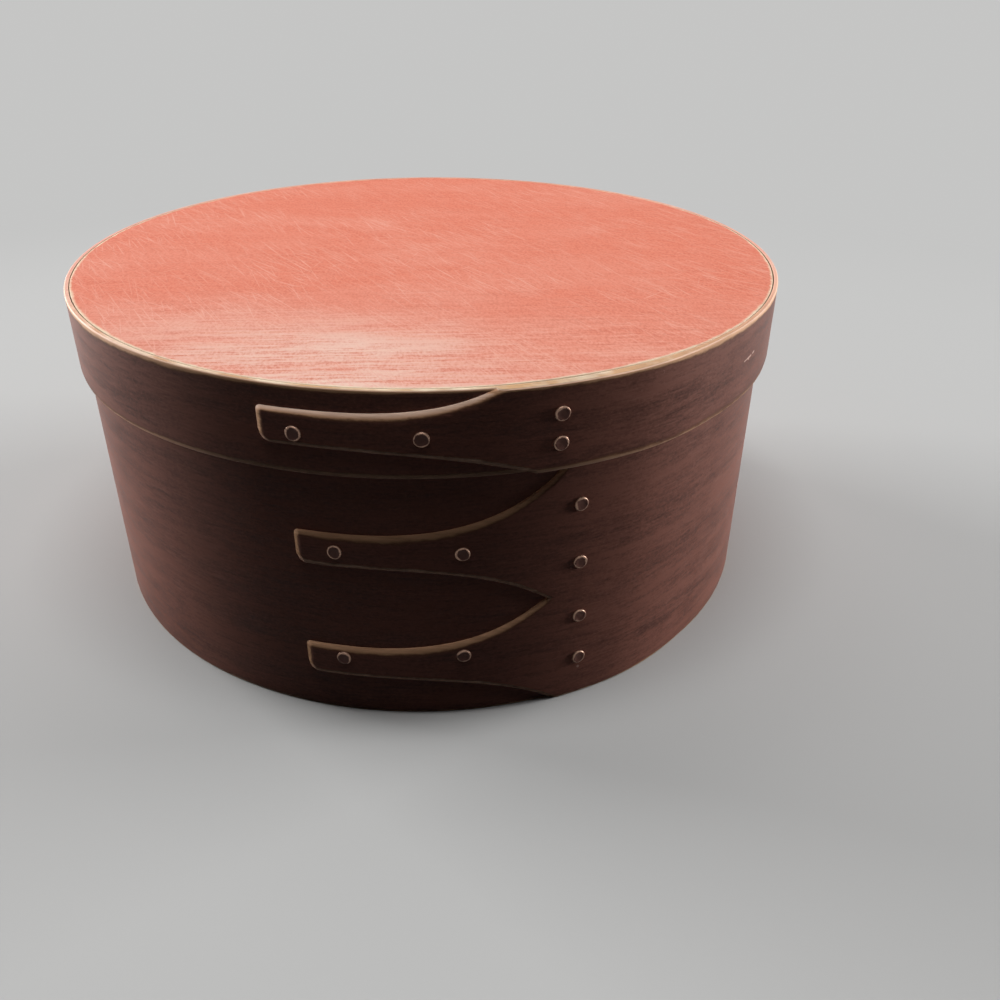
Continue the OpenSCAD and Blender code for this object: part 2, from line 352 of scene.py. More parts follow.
litLidFinish = {
    "deep": (0.69, 0.180, 0.112, 1),
    "plain": (0.81, 0.245, 0.160, 1),
    "bloom": (0.84, 0.315, 0.225, 1),
    "scratch": (0.89, 0.475, 0.375, 1),
    # the pale of a painted sheen on the front of the board
    "haze": (0.90, 0.640, 0.535, 1),
    "layers": {   # stretch, detail, roughness, bend, share of the tone, share of the relief
        "strokes": ((38, 720, 720), 4, 0.62, 0.2, 0.45, 0.9),
        "fine": ((110, 1300, 1300), 3, 0.65, 0.15, 0.35, 0.35),
        "mottle": ((1300, 600, 600), 2, 0.6, 0.0, 0.20, 0.0),
    },
    "drift": ((16, 18, 18), 2, 0.5), "driftFar": 0.05,
    "frontAt": (-0.028, -0.118, (0, 1), "SMOOTHSTEP"),
    "contrast": (1.3, 3.2),   # of the brush strokes, at the back and at the front
    "toneAt": (0.15, 0.55),
    "patch": ((14, 30, 30), 3, 0.5, 0.5), "patchAt": (0.46, 0.66, (0, 0.5), "SMOOTHSTEP"),
    "lighterAt": (0.50, 0.80, (0, 0.7)), "deeperAt": (0.50, 0.20, (0, 0.8)),
    "palestX": -0.035, "paleAt": (0.01, 0.085, (1.0, 0.2), "SMOOTHSTEP"),
    "soft": ((22, 70, 70), 3, 0.55, 0.4), "softShare": 0.6, "dryAt": (0.36, 0.62, (0.2, 1)),
    "brightAt": (0.62, 1.0, (0, 0.6)), "workedAt": (0.42, 0.05, (0, 0.6)),
    "scratches": (   # direction, shift, how rare, how short
        (-37, 0.10, 0.625, 40),
        (-48, 0.37, 0.615, 34),
        (-57, 0.93, 0.605, 30),
        (-64, 1.7, 0.605, 38),
        (-73, 2.3, 0.630, 34),
        (44, 0.71, 0.675, 42),
        (6, 1.3, 0.635, 22),
        (70, 1.9, 0.690, 50),
    ),
    "scratchFine": 1500, "scratchLine": (2, 0.5, 0.12), "scratchSoft": 0.07, "scratchShare": 0.6,
    "scratchWhere": ((30, 30, 30), 3, 0.5), "scratchWhereAt": (0.34, 0.60, (0.25, 1)),
    "edge": ((240, 240, 240), 4, 0.65), "edgeShare": 1.3, "edgeAt": (0.30, 0.95, (0, 0.9)),
    "glossAt": (0.1, 0.9, (0.70, 0.84)), "shine": 0.06,
    "bump": (0.30, 0.0002), "scratchRelief": -0.35,
}


def lidPaint():
    material, tree, shader, place = newMaterial("lidPaint", litLidFinish["shine"])
    spots = node(tree, "ShaderNodeSeparateXYZ", {0: place}).outputs
    layers, tone, height = layered(tree, place, litLidFinish["layers"])
    mottle = layers["mottle"]
    drift = noise(tree, place, *litLidFinish["drift"])
    reach = sway(tree, drift, litLidFinish["driftFar"], spots["Y"])
    frontShare = fit(tree, reach, *litLidFinish["frontAt"])
    # brushed paint, more uneven towards the front
    tone = sway(tree, tone, fit(tree, frontShare, 0, 1, litLidFinish["contrast"]), 0.5)
    shade = fit(tree, tone, *litLidFinish["toneAt"])
    colour = blendColour(tree, shade, litLidFinish["deep"], litLidFinish["plain"])
    bloom = fit(tree, noise(tree, place, *litLidFinish["patch"]), *litLidFinish["patchAt"])
    colour = blendColour(tree, bloom, colour, litLidFinish["bloom"])
    colour = blendColour(tree, fit(tree, mottle, *litLidFinish["lighterAt"]), colour, litLidFinish["bloom"])
    colour = blendColour(tree, fit(tree, mottle, *litLidFinish["deeperAt"]), colour, litLidFinish["deep"])
    # the front of the board is painted pale, most of all left of its middle: a painted sheen, laid in
    # streaks like rubbed paint
    side = sums(tree, "ABSOLUTE", sums(tree, "SUBTRACT", spots["X"], litLidFinish["palestX"]), 0)
    rubbedAndSheen = sums(tree, "MULTIPLY", fit(tree, side, *litLidFinish["paleAt"]), frontShare)
    soft = noise(tree, place, *litLidFinish["soft"])
    sheenStreaks = sums(tree, "MULTIPLY", tone, 1 - litLidFinish["softShare"])
    sheenStreaks = sums(tree, "MULTIPLY_ADD", soft, litLidFinish["softShare"], sheenStreaks)
    sheenStreaks = sums(tree, "MULTIPLY", fit(tree, sheenStreaks, *litLidFinish["dryAt"]), rubbedAndSheen)
    colour = blendColour(tree, sheenStreaks, colour, litLidFinish["haze"])
    colour = blendColour(tree, fit(tree, tone, *litLidFinish["brightAt"]), colour, litLidFinish["scratch"])
    worked = sums(tree, "MULTIPLY", fit(tree, tone, *litLidFinish["workedAt"]), frontShare)
    colour = blendColour(tree, worked, colour, litLidFinish["deep"])
    # light scratches in a few directions, thicker in some places than in others
    lines = 0.0
    for turn, shift, low, short in litLidFinish["scratches"]:
        stretch = (short, litLidFinish["scratchFine"], litLidFinish["scratchFine"])
        line = noise(tree, place, stretch, *litLidFinish["scratchLine"], turn, (shift, shift, 0))
        lines = sums(tree, "MAXIMUM", fit(tree, line, low, low + litLidFinish["scratchSoft"]), lines)
    where = noise(tree, place, *litLidFinish["scratchWhere"])
    lines = sums(tree, "MULTIPLY", lines, fit(tree, where, *litLidFinish["scratchWhereAt"]))
    scratched = sums(tree, "MULTIPLY", lines, litLidFinish["scratchShare"])
    colour = blendColour(tree, scratched, colour, litLidFinish["scratch"])
    # paler wood round the edge of the board
    ragged = noise(tree, place, *litLidFinish["edge"])
    bare = sway(tree, ragged, litLidFinish["edgeShare"], stored(tree, "rub"))
    palest = wear["woods"][-1][1]
    colour = blendColour(tree, fit(tree, bare, *litLidFinish["edgeAt"]), colour, palest)
    tree.links.new(colour, shader.inputs["Base Color"])
    tree.links.new(fit(tree, tone, *litLidFinish["glossAt"]), shader.inputs["Roughness"])
    height = sums(tree, "MULTIPLY_ADD", lines, litLidFinish["scratchRelief"], height)
    bump(tree, shader, height, *litLidFinish["bump"])
    return material


woodFinish = {
    "light": (0.50, 0.33, 0.185, 1),
    "dark": (0.30, 0.175, 0.085, 1),
    "age": (0.20, 0.115, 0.06, 1),
    "rings": (4, 0.6, 0.8), "ringShare": 0.8,
    "poresFiner": 5, "pores": (3, 0.65), "poreShare": 0.4,
    "stain": ((16, 16, 16), 3, 0.55), "ageAt": (0.45, 0.75, (0, 0.55)),
    "toneAt": (0.42, 0.80), "glossAt": (0.4, 0.9, (0.72, 0.52)),
    "bump": (0.35, 0.00025),
    "bandGrain": (16, 16, 330), "boardGrain": (12, 190, 190),
}


def bareWood(name, along):
    material, tree, shader, place = newMaterial(name)
    rings = noise(tree, place, along, *woodFinish["rings"])
    finer = tuple(woodFinish["poresFiner"] * v for v in along)
    pores = noise(tree, place, finer, *woodFinish["pores"])
    stain = noise(tree, place, *woodFinish["stain"])
    tone = sums(tree, "MULTIPLY", rings, woodFinish["ringShare"])
    tone = sums(tree, "MULTIPLY_ADD", pores, woodFinish["poreShare"], tone)
    shade = fit(tree, tone, *woodFinish["toneAt"])
    colour = blendColour(tree, shade, woodFinish["dark"], woodFinish["light"])
    colour = blendColour(tree, fit(tree, stain, *woodFinish["ageAt"]), colour, woodFinish["age"])
    tree.links.new(colour, shader.inputs["Base Color"])
    tree.links.new(fit(tree, tone, *woodFinish["glossAt"]), shader.inputs["Roughness"])
    bump(tree, shader, tone, *woodFinish["bump"])
    return material


tackFinish = {
    "metal": (0.33, 0.205, 0.150, 1), "metallic": 0.8,
    "paint": (0.135, 0.054, 0.040, 1),
    "grit": ((1300, 1300, 1300), 3, 0.6), "gritShare": 0.25,
    "blotch": ((420, 420, 420), 2, 0.5), "blotchShare": 0.70,
    "wornAt": (0.72, 0.86, (0, 1), "SMOOTHSTEP"),
    "glossAt": (0.3, 0.7, (0.36, 0.52)), "shine": 0.2,
    "bump": (0.3, 0.0001),
}


def tackMetal():
    material, tree, shader, place = newMaterial("tackMetal", tackFinish["shine"])
    grit = noise(tree, place, *tackFinish["grit"])
    blotch = noise(tree, place, *tackFinish["blotch"])
    edge = sway(tree, grit, tackFinish["gritShare"], stored(tree, "across"))
    edge = sway(tree, blotch, tackFinish["blotchShare"], edge)
    worn = fit(tree, edge, *tackFinish["wornAt"])
    colour = blendColour(tree, worn, tackFinish["paint"], tackFinish["metal"])
    tree.links.new(colour, shader.inputs["Base Color"])
    metallic = sums(tree, "MULTIPLY", worn, tackFinish["metallic"])
    tree.links.new(metallic, shader.inputs["Metallic"])
    tree.links.new(fit(tree, grit, *tackFinish["glossAt"]), shader.inputs["Roughness"])
    bump(tree, shader, grit, *tackFinish["bump"])
    return material


paintedBand = bandPaint()
litTopPaint = lidPaint()
bandWood = bareWood("bandWood", woodFinish["bandGrain"])
boardWood = bareWood("boardWood", woodFinish["boardGrain"])
tackPaint = tackMetal()
print("materials ready")


# bent bands: a spun ring and, at the front, the flat outer end of the strip wrapped round it

boxBand = {
    "name": "bodyBand",
    "inner": 122.95, "outer": 124.45, "low": 0.0, "high": 108.7,
    "centre": (0.0, 0.0),
    "seam": 44.3,
    "reach": 41.7, "fingerHigh": 10.9, "flat": 24.0, "notch": 34.2, "foot": 37.7, "topRoot": 52.0,
    "fingersAt": (20.725, 62.175), "pitch": 41.45,
    "footBevel": (1.2, 0.2), "rubTop": 1.2, "rimSpread": 0.0, "rubFoot": 1.2, "footWear": 0.9,
    "footSides": 0.9, "coat": 0.0,
    "paleTop": 0.6, "paleLedge": (0.36, 0.1), "rubTip": 1.0,
}
lidBand = {
    "name": "lidBand",
    "inner": 125.51, "outer": 127.01, "low": 88.2, "high": 114.7,
    "centre": (0.274, -0.698),
    "seam": 35.1,
    "reach": 48.6, "fingerHigh": 10.3, "flat": 26.0, "upperRoot": 17.4, "lowerRoot": 28.5,
    "fingersAt": (102.85,),
    "footBevel": (1.9, 0.32), "rubTop": 1.1, "rimSpread": 1.6, "rubFoot": 1.9, "footWear": 1.5,
    "footSides": 0.28, "coat": 1.0,
    "paleTop": 1.0, "paleLedge": (0.78, 0.1), "rubTip": 1.7,
}
lap = {
    "thick": 1.5, "sunk": 0.4, "end": 60.0, "fade": 42.0,
    "tipTop": 1.5, "tipFoot": 3.2,
    "bow": (0.56, 0.79, 0.4),   # how a finger's edge swings out to its root
    "curveSteps": 14,
    "cut": 1.6,   # spacing of the cuts that let the strip bend
    "insets": (0.35, 0.45, 0.6),
    "bevelUp": (1.6, 1.05), "bevelTip": (1.4, 0.85), "bevelDown": (0.65, 0.4),   # width and depth
    "swell": (0.72, 0.45, -8.0, 22.0),   # upper bevel: least width, what is added, where, how wide
    "rubUp": 2.0, "rubDown": 1.7,   # how far the wear reaches
    "rubBack": 0.2,   # least wear where an edge meets the ring
    "sidePale": 0.6,
    "near": 0.02,   # this close to top or bottom, an edge is the band's own
    "lost": 0.97, "lostDeep": 0.03,   # where the faded end sinks into the ring
}
ringMesh = {
    "steps": 320, "rowGap": 2.4,
    "easeOut": 0.45, "easeIn": 0.2,   # rounded edges
    "rimRow": 1.6,   # a row of its own for the worn rim
    "woodTo": 0.12,   # bare wood this far out from the inner face
}
quarterPull = 0.5523   # handle length for a round corner


def spunRing(piece):
    wide = piece["outer"] - piece["inner"]
    tall = piece["high"] - piece["low"]
    deselectAll()
    bpy.ops.mesh.primitive_plane_add(size=1, rotation=(math.pi / 2, 0, 0))
    obj = bpy.context.active_object
    obj.location = ((piece["inner"] + wide / 2) * mm, 0, (piece["low"] + tall / 2) * mm)
    obj.scale = (wide * mm, tall * mm, 1)
    bpy.ops.object.transform_apply(location=True, rotation=True, scale=True)
    edit(obj)
    inside = (piece["inner"] + wide / 2) * mm
    pick(obj, "VERT", lambda v: v.co.x > inside)
    bpy.ops.mesh.bevel(offset=ringMesh["easeOut"] * mm, segments=4, affect="VERTICES")
    pick(obj, "VERT", lambda v: v.co.x < inside)
    bpy.ops.mesh.bevel(offset=ringMesh["easeIn"] * mm, segments=2, affect="VERTICES")
    bpy.ops.mesh.select_all(action="SELECT")
    bpy.ops.mesh.delete(type="ONLY_FACE")
    pick(obj, "EDGE", lambda e: e.calc_length() > 0.5 * tall * mm)
    bpy.ops.mesh.subdivide(number_cuts=int(tall / ringMesh["rowGap"]))
    bpy.ops.mesh.select_all(action="SELECT")
    bpy.ops.mesh.spin(steps=ringMesh["steps"], angle=2 * math.pi, center=(0, 0, 0), axis=(0, 0, 1))
    for row in (piece["low"] + piece["footBevel"][0], piece["high"] - ringMesh["rimRow"]):
        bpy.ops.mesh.select_all(action="SELECT")
        bpy.ops.mesh.bisect(plane_co=(0, 0, row * mm), plane_no=(0, 0, 1), threshold=1e-6)
    done()
    tidyMesh(obj)
    co = points(obj)
    reach = np.hypot(co[:, 0], co[:, 1])
    slope = np.where(reach > inside, footDrop(co[:, 2] / mm, piece), 0)
    co[:, :2] *= (1 - slope * mm / reach)[:, None]
    movePoints(obj, co)
    return obj


def footDrop(z, piece):
    tall, deep = piece["footBevel"]
    return deep * np.clip(1 - (z - piece["low"]) / tall, 0, 1)


def straight(a, b):
    a, b = Vector(a), Vector(b)
    return [(a.lerp(b, 1 / 3), a.lerp(b, 2 / 3), b)]


def swing(flat, root):
    leave, arrive, lift = lap["bow"]
    run, rise = root[0] - flat[0], root[1] - flat[1]
    pullA = Vector((flat[0] + leave * run, flat[1]))
    pullB = Vector((flat[0] + arrive * run, flat[1] + lift * rise))
    return [(pullA, pullB, Vector(root))]


def swingBack(flat, root):
    pullA, pullB = swing(flat, root)[0][:2]
    return [(pullB, pullA, Vector(flat))]


def roundCorner(a, corner, b):
    a, corner, b = Vector(a), Vector(corner), Vector(b)
    return [(a.lerp(corner, quarterPull), b.lerp(corner, quarterPull), b)]


def fingerTip(reach, low, high):
    foot, top = lap["tipFoot"], lap["tipTop"]
    return (
        roundCorner((foot - reach, low), (-reach, low), (-reach, low + foot))
        + straight((-reach, low + foot), (-reach, high - top))
        + roundCorner((-reach, high - top), (-reach, high), (top - reach, high))
    )


def longFinger(piece, low, high):
    flat, reach = piece["flat"], piece["reach"]
    return (
        straight((-flat, low), (lap["tipFoot"] - reach, low))
        + fingerTip(reach, low, high)
        + straight((lap["tipTop"] - reach, high), (-flat, high))
    )


def boxOutline(piece):
    half = piece["fingerHigh"] / 2
    lower, upper = piece["fingersAt"]
    right = lap["end"] + lap["fade"]
    notch = (piece["notch"], piece["pitch"])
    shoulder = (piece["notch"], 2 * piece["pitch"])
    top = (piece["topRoot"], piece["high"])
    foot = (piece["foot"], 0)
    flat = piece["flat"]
    path = straight((right, 0), foot)
    path += swingBack((-flat, lower - half), foot)
    path += longFinger(piece, lower - half, lower + half)
    path += swing((-flat, lower + half), notch)
    path += swingBack((-flat, upper - half), notch)
    path += longFinger(piece, upper - half, upper + half)
    path += swing((-flat, upper + half), shoulder)
    ahead = (top[0] - shoulder[0]) / 3
    rise = (top[1] - shoulder[1]) / 3
    path += [(
        Vector((shoulder[0] + ahead, shoulder[1] + ahead)),
        Vector((top[0] - ahead / 2, top[1] - rise)),
        Vector(top),
    )]
    path += straight(top, (right, piece["high"]))
    path += straight((right, piece["high"]), (right, 0))
    return path


def lidOutline(piece):
    half = piece["fingerHigh"] / 2
    middleZ = piece["fingersAt"][0]
    right = lap["end"] + lap["fade"]
    top = (piece["upperRoot"], piece["high"])
    foot = (piece["lowerRoot"], piece["low"])
    flat, reach = piece["flat"], piece["reach"]
    tipX = lap["tipFoot"] - reach
    topX = lap["tipTop"] - reach
    path = straight((right, piece["low"]), foot)
    path += swingBack((tipX, middleZ - half), foot)
    path += fingerTip(reach, middleZ - half, middleZ + half)
    path += straight((topX, middleZ + half), (-flat, middleZ + half))
    path += swing((-flat, middleZ + half), top)
    path += straight(top, (right, piece["high"]))
    path += straight((right, piece["high"]), (right, piece["low"]))
    return path


def flatStrip(piece, path):
    deselectAll()
    bpy.ops.curve.primitive_bezier_circle_add(radius=mm)
    drawn = bpy.context.active_object
    drawn.data.resolution_u = lap["curveSteps"]
    spline = drawn.data.splines[0]
    spline.bezier_points.add(len(path) - len(spline.bezier_points))
    for i, (pullA, pullB, end) in enumerate(path):
        here, there = spline.bezier_points[i - 1], spline.bezier_points[i]
        for point in (here, there):
            point.handle_left_type = point.handle_right_type = "FREE"
        there.co = (end.x * mm, end.y * mm, 0)
        here.handle_right = (pullA.x * mm, pullA.y * mm, 0)
        there.handle_left = (pullB.x * mm, pullB.y * mm, 0)
    bpy.ops.object.convert(target="MESH")
    strip = bpy.context.active_object
    edit(strip)
    bpy.ops.mesh.remove_doubles(threshold=1e-5)
    done()
    outline = orderedLoop(strip)
    edit(strip)
    bpy.ops.mesh.edge_face_add()
    for width in lap["insets"]:
        bpy.ops.mesh.inset(thickness=width * mm, use_boundary=True, use_even_offset=True)
    lowX, highX = outline[:, 0].min(), outline[:, 0].max()
    lowY, highY = outline[:, 1].min(), outline[:, 1].max()
    step = lap["cut"] * mm
    for x in np.arange(lowX + step, highX - step / 3, step):
        bpy.ops.mesh.select_all(action="SELECT")
        bpy.ops.mesh.bisect(plane_co=(x, 0, 0), plane_no=(1, 0, 0), threshold=5e-5)
    bevelTop = (piece["low"] + piece["footBevel"][0]) * mm
    for y in [bevelTop, *np.arange(lowY + step, highY - step / 3, step)]:
        bpy.ops.mesh.select_all(action="SELECT")
        bpy.ops.mesh.bisect(plane_co=(0, y, 0), plane_no=(0, 1, 0), threshold=5e-5)
    bpy.ops.mesh.select_all(action="SELECT")
    bpy.ops.mesh.normals_make_consistent(inside=False)
    bpy.ops.mesh.extrude_region_move(TRANSFORM_OT_translate={"value": (0, 0, lap["thick"] * mm)})
    bpy.ops.mesh.select_all(action="SELECT")
    bpy.ops.mesh.normals_make_consistent(inside=False)
    done()
    return strip, outline / mm


def orderedLoop(obj):
    co = points(obj)
    links = {}
    for e in obj.data.edges:
        a, b = e.vertices
        links.setdefault(a, []).append(b)
        links.setdefault(b, []).append(a)
    loop = [0]
    last = None
    while True:
        ways = [v for v in links[loop[-1]] if v != last]
        last = loop[-1]
        if not ways or ways[0] == loop[0]:
            break
        loop.append(ways[0])
    return co[loop][:, :2]


def edgeRub(flat, outline, piece):
    # wear and bevel at each point, from how far it is from the outline's edges
    a, b = outline, np.roll(outline, -1, axis=0)
    along = b - a
    length = np.linalg.norm(along, axis=1)
    turnSign = np.sign(np.sum(a[:, 0] * b[:, 1] - b[:, 0] * a[:, 1]))
    outward = turnSign * np.stack([along[:, 1], -along[:, 0]], 1) / length[:, None]
    centre = (a + b) / 2
    atEnds = centre[:, 0] > lap["end"]
    atEnds |= centre[:, 1] < piece["low"] + lap["near"]
    atEnds |= centre[:, 1] > piece["high"] - lap["near"]
    up = np.clip(outward[:, 1], 0, 1)
    down = np.clip(-outward[:, 1], 0, 1)
    side = np.clip(1 - up - down, 0, 1)
    sizes = np.array([
        (*lap["bevelUp"], lap["rubUp"]),
        (*lap["bevelTip"], piece["rubTip"]),
        (*lap["bevelDown"], lap["rubDown"]),
    ])
    weights = np.stack([up, side, down], 1)
    weights /= weights.sum(1, keepdims=True)
    width, depth, worn = (weights @ sizes).T
    least, more, where, wide = lap["swell"]
    swell = least + more * np.exp(-(((centre[:, 0] - where) / wide) ** 2))
    width = width * (1 + up * (swell - 1))
    worn = worn * (1 + up * (swell - 1))
    rub = np.full(len(flat), -1.0)
    drop = np.zeros(len(flat))
    facing = np.zeros(len(flat))
    for i in np.flatnonzero(~atEnds):
        t = np.clip(((flat - a[i]) @ along[i]) / length[i] ** 2, 0, 1)
        away = np.linalg.norm(flat - (a[i] + t[:, None] * along[i]), axis=1)
        nearer = 1 - away / worn[i] > rub
        rub = np.where(nearer, 1 - away / worn[i], rub)
        facing = np.where(nearer, up[i] - down[i], facing)
        drop = np.maximum(drop, depth[i] * np.clip(1 - away / width[i], 0, 1) ** 2)
    return rub, drop, facing


def wrapStrip(strip, outline, piece):
    flat = points(strip) / mm
    rub, drop, facing = edgeRub(flat[:, :2], outline, piece)
    # painted light in the tint: paler towards the arris and on edges that face up, as a painted
    # highlight; edges that face down go below zero, to the ramp's bright colour, painted against
    # their shade
    palest, least = piece["paleLedge"]
    pale = least + (palest - least) * np.sqrt(drop / lap["bevelUp"][1])
    pale *= lap["sidePale"] + (1 - lap["sidePale"]) * np.clip(facing, 0, 1)
    pale = np.where(facing < 0, (1 + facing) * pale + facing, pale)
    onFace = flat[:, 2] > lap["thick"] / 2
    ringR = piece["outer"]
    lapR = ringR + lap["thick"]
    seamTurn = piece["seam"] / lapR
    endTurn = lap["end"] / lapR
    fadeTurn = lap["fade"] / lapR
    turn = flat[:, 0] / lapR
    past = np.clip((turn - endTurn) / fadeTurn, 0, 1)
    face = lapR - lap["thick"] * past ** 2 * (3 - 2 * past)
    # the strip's own edge easing at the top and bottom of the band
    z = flat[:, 1]
    nearEnd = np.minimum(z - piece["low"], piece["high"] - z)
    ease = ringMesh["easeOut"]
    inEase = np.clip(ease - nearEnd, 0, ease)
    drop = np.maximum(drop, ease - np.sqrt(np.clip(ease ** 2 - inEase ** 2, 0, None)))
    drop = np.maximum(drop, footDrop(z, piece))
    gone = np.clip((past - lap["lost"]) / (1 - lap["lost"]), 0, 1)
    radius = np.where(onFace, face - drop - lap["lostDeep"] * gone, ringR - lap["sunk"])
    across = lapR * np.sin(turn - seamTurn)
    angle = seamTurn + np.arcsin(across / radius)
    co = np.stack([radius * np.sin(angle), -radius * np.cos(angle), z], 1) * mm
    movePoints(strip, co)
    strength = np.where(onFace, rub, np.maximum(rub, lap["rubBack"]))
    return strength, np.where(rub > 0, pale, 0)


rimWear = {   # heights in millimetres, the rest as shares
    "frontFrom": 0.1, "frontGain": 1.6,   # paler towards the front, a painted sheen
    "nearFrom": 0.55, "nearOver": 0.35,   # the foot is worn widest and painted brightest at the front, the bright colour standing against its shade
    "rightFrom": 0.3, "rightGain": 2.6, "rightLess": 0.75,   # and less so on the right
    "edge": 0.25, "below": 0.9, "foot": 1.5,
    "edgeBack": 0.65, "belowBack": 0.5, "belowPale": 0.42, "footBack": 0.1,
    "coatFrom": 1.05,
}


def towards(share, rest):
    return rest + (1 - rest) * share


def endRub(obj, piece, strength=None, pale=0):
    # worn top and bottom edges of a band, with painted light in their tint: a painted highlight and
    # sheen on the top edge, and a foot painted bright against its shade
    co = points(obj)
    z = co[:, 2] / mm
    reach = np.hypot(co[:, 0], co[:, 1])
    right = co[:, 0] / reach
    back = co[:, 1] / reach
    spread = piece["rimSpread"] * np.abs(right)
    front = np.clip(rimWear["frontFrom"] - rimWear["frontGain"] * back, 0, 1)
    near = np.clip((-back - rimWear["nearFrom"]) / rimWear["nearOver"], 0, 1)
    onRight = np.clip(rimWear["rightGain"] * right - rimWear["rightFrom"], 0, 1)
    near *= 1 - rimWear["rightLess"] * onRight
    fromTop = piece["high"] - z
    fromFoot = z - piece["low"]
    rub = np.full(len(z), -1.0) if strength is None else strength
    top = 1 - fromTop / (piece["rubTop"] + spread)
    footWear = piece["footWear"] * towards(near, piece["footSides"])
    foot = footWear * (1 - fromFoot / piece["rubFoot"])
    keepValue(obj, "rub", np.maximum(rub, np.maximum(top, foot)))
    atTop = np.clip(1 - fromTop / rimWear["edge"], 0, 1)
    belowTop = np.clip(1 - fromTop / (rimWear["below"] + spread), 0, 1)
    atFoot = np.clip(1 - fromFoot / rimWear["foot"], 0, 1)
    bare = rimWear["belowPale"] * towards(front, rimWear["belowBack"]) * np.sqrt(belowTop)
    bare = np.maximum(piece["paleTop"] * towards(front, rimWear["edgeBack"]) * atTop, bare)
    atEnds = bare - atFoot * towards(near, rimWear["footBack"])
    keepValue(obj, "pale", np.where(belowTop + atFoot > 0, atEnds, pale))
    coat = np.clip(rimWear["coatFrom"] + back, 0, 1) * np.clip(2 * atTop - 1, 0, 1)
    keepValue(obj, "coat", piece["coat"] * coat)


def bentBand(piece, path):
    ring = spunRing(piece)
    endRub(ring, piece)
    strip, outline = flatStrip(piece, path)
    strength, pale = wrapStrip(strip, outline, piece)
    endRub(strip, piece, strength, pale)
    tidyMesh(strip, 1e-7)
    for part in (ring, strip):
        part.data.materials.append(paintedBand)
        part.data.materials.append(bandWood)
    inside = (piece["inner"] + ringMesh["woodTo"]) * mm
    for face in ring.data.polygons:
        c = face.center
        face.material_index = 1 if math.hypot(c.x, c.y) < inside else 0
    band = joined([ring, strip], piece["name"])
    movePoints(band, points(band) + np.array([*piece["centre"], 0]) * mm)
    smooth(band, angle=38)
    print(piece["name"], "made:", len(band.data.polygons), "faces")
    return band


bodyBandPiece = bentBand(boxBand, boxOutline(boxBand))
dress(bodyBandPiece, "box", "wall_paint", "body_band")
lidBandPiece = bentBand(lidBand, lidOutline(lidBand))
dress(lidBandPiece, "lid", "wall_paint", "lid_band")


# round boards

lidBoard = {
    "name": "lidBoard", "radius": 125.44, "low": 108.7, "high": 114.68,
    "centre": (0.274, -0.698), "ease": 0.28, "wander": 0.16, "gapAt": 18.0, "gap": 0.38,
}
bottomBoard = {
    "name": "bottomBoard", "radius": 122.80, "low": 0.15, "high": 6.0,
    "centre": (0.0, 0.0), "ease": 0.5, "wander": 0.06, "gapAt": 18.0, "gap": 0.0,
}
boardMesh = {
    "sides": 288, "insets": (0.5, 0.7, 1.4, 4, 12, 26, 40),
    "waves": (3, 5, 9, 14, 23, 37), "waveDeep": 8.0,   # the edge's wander and how far in it goes
    "waveShare": 0.5, "waveTop": 1.5,
    "gapWide": 11.0,   # degrees
    "rubWide": 1.5, "paintDeep": 1.2,
}


def roundBoard(piece):
    tall = piece["high"] - piece["low"]
    deselectAll()
    sides = boardMesh["sides"]
    bpy.ops.mesh.primitive_cylinder_add(vertices=sides, radius=piece["radius"] * mm, depth=tall * mm)
    obj = bpy.context.active_object
    obj.name = piece["name"]
    obj.data.name = piece["name"]
    edit(obj)
    edgeZ = 0.49 * tall * mm
    pick(obj, "EDGE", lambda e: abs(middle(e).z) > edgeZ)
    bpy.ops.mesh.bevel(offset=piece["ease"] * mm, segments=3, affect="EDGES")
    for width in boardMesh["insets"]:
        pick(obj, "FACE", lambda f: len(f.verts) == sides)
        bpy.ops.mesh.inset(thickness=width * mm, use_even_offset=True)
    pick(obj, "FACE", lambda f: len(f.verts) == sides)
    bpy.ops.mesh.poke()
    done()
    co = points(obj)
    angle = np.arctan2(co[:, 1], co[:, 0])
    reach = np.hypot(co[:, 0], co[:, 1])
    # the edge was cut by hand, so it wanders a little
    waves, deep = boardMesh["waves"], boardMesh["waveDeep"]
    phase = random.uniform(0, 2 * math.pi, len(waves))
    wander = sum(np.sin(k * angle + phase[i]) / (i + 1) for i, k in enumerate(waves))
    outer = np.clip((reach / mm - piece["radius"] + deep) / deep, 0, 1)
    fromGap = (np.degrees(angle) + 90 - piece["gapAt"] + 180) % 360 - 180
    opened = piece["gap"] * np.exp(-((fromGap / boardMesh["gapWide"]) ** 2))
    inward = boardMesh["waveShare"] * (boardMesh["waveTop"] - wander)
    shrink = piece["wander"] * inward + opened
    change = 1 - outer * shrink * mm / np.maximum(reach, mm)
    co[:, :2] *= change[:, None]
    keepValue(obj, "rub", 1 - (piece["radius"] * mm - reach) / (boardMesh["rubWide"] * mm))
    co += np.array([*piece["centre"], piece["low"] + tall / 2]) * mm
    movePoints(obj, co)
    smooth(obj, angle=30)
    print(piece["name"], "made:", len(obj.data.polygons), "faces")
    return obj


lidBoardPiece = roundBoard(lidBoard)
lidBoardPiece.data.materials.append(litTopPaint)
lidBoardPiece.data.materials.append(boardWood)
for face in lidBoardPiece.data.polygons:
    painted = face.center.z >= (lidBoard["high"] - boardMesh["paintDeep"]) * mm
    face.material_index = 0 if painted else 1
dress(lidBoardPiece, "lid", "lid_paint", "lid_board")
bottomPiece = roundBoard(bottomBoard)
bottomPiece.data.materials.append(boardWood)
dress(bottomPiece, "box", "bare_wood", "bottom_board")


# tacks and pegs

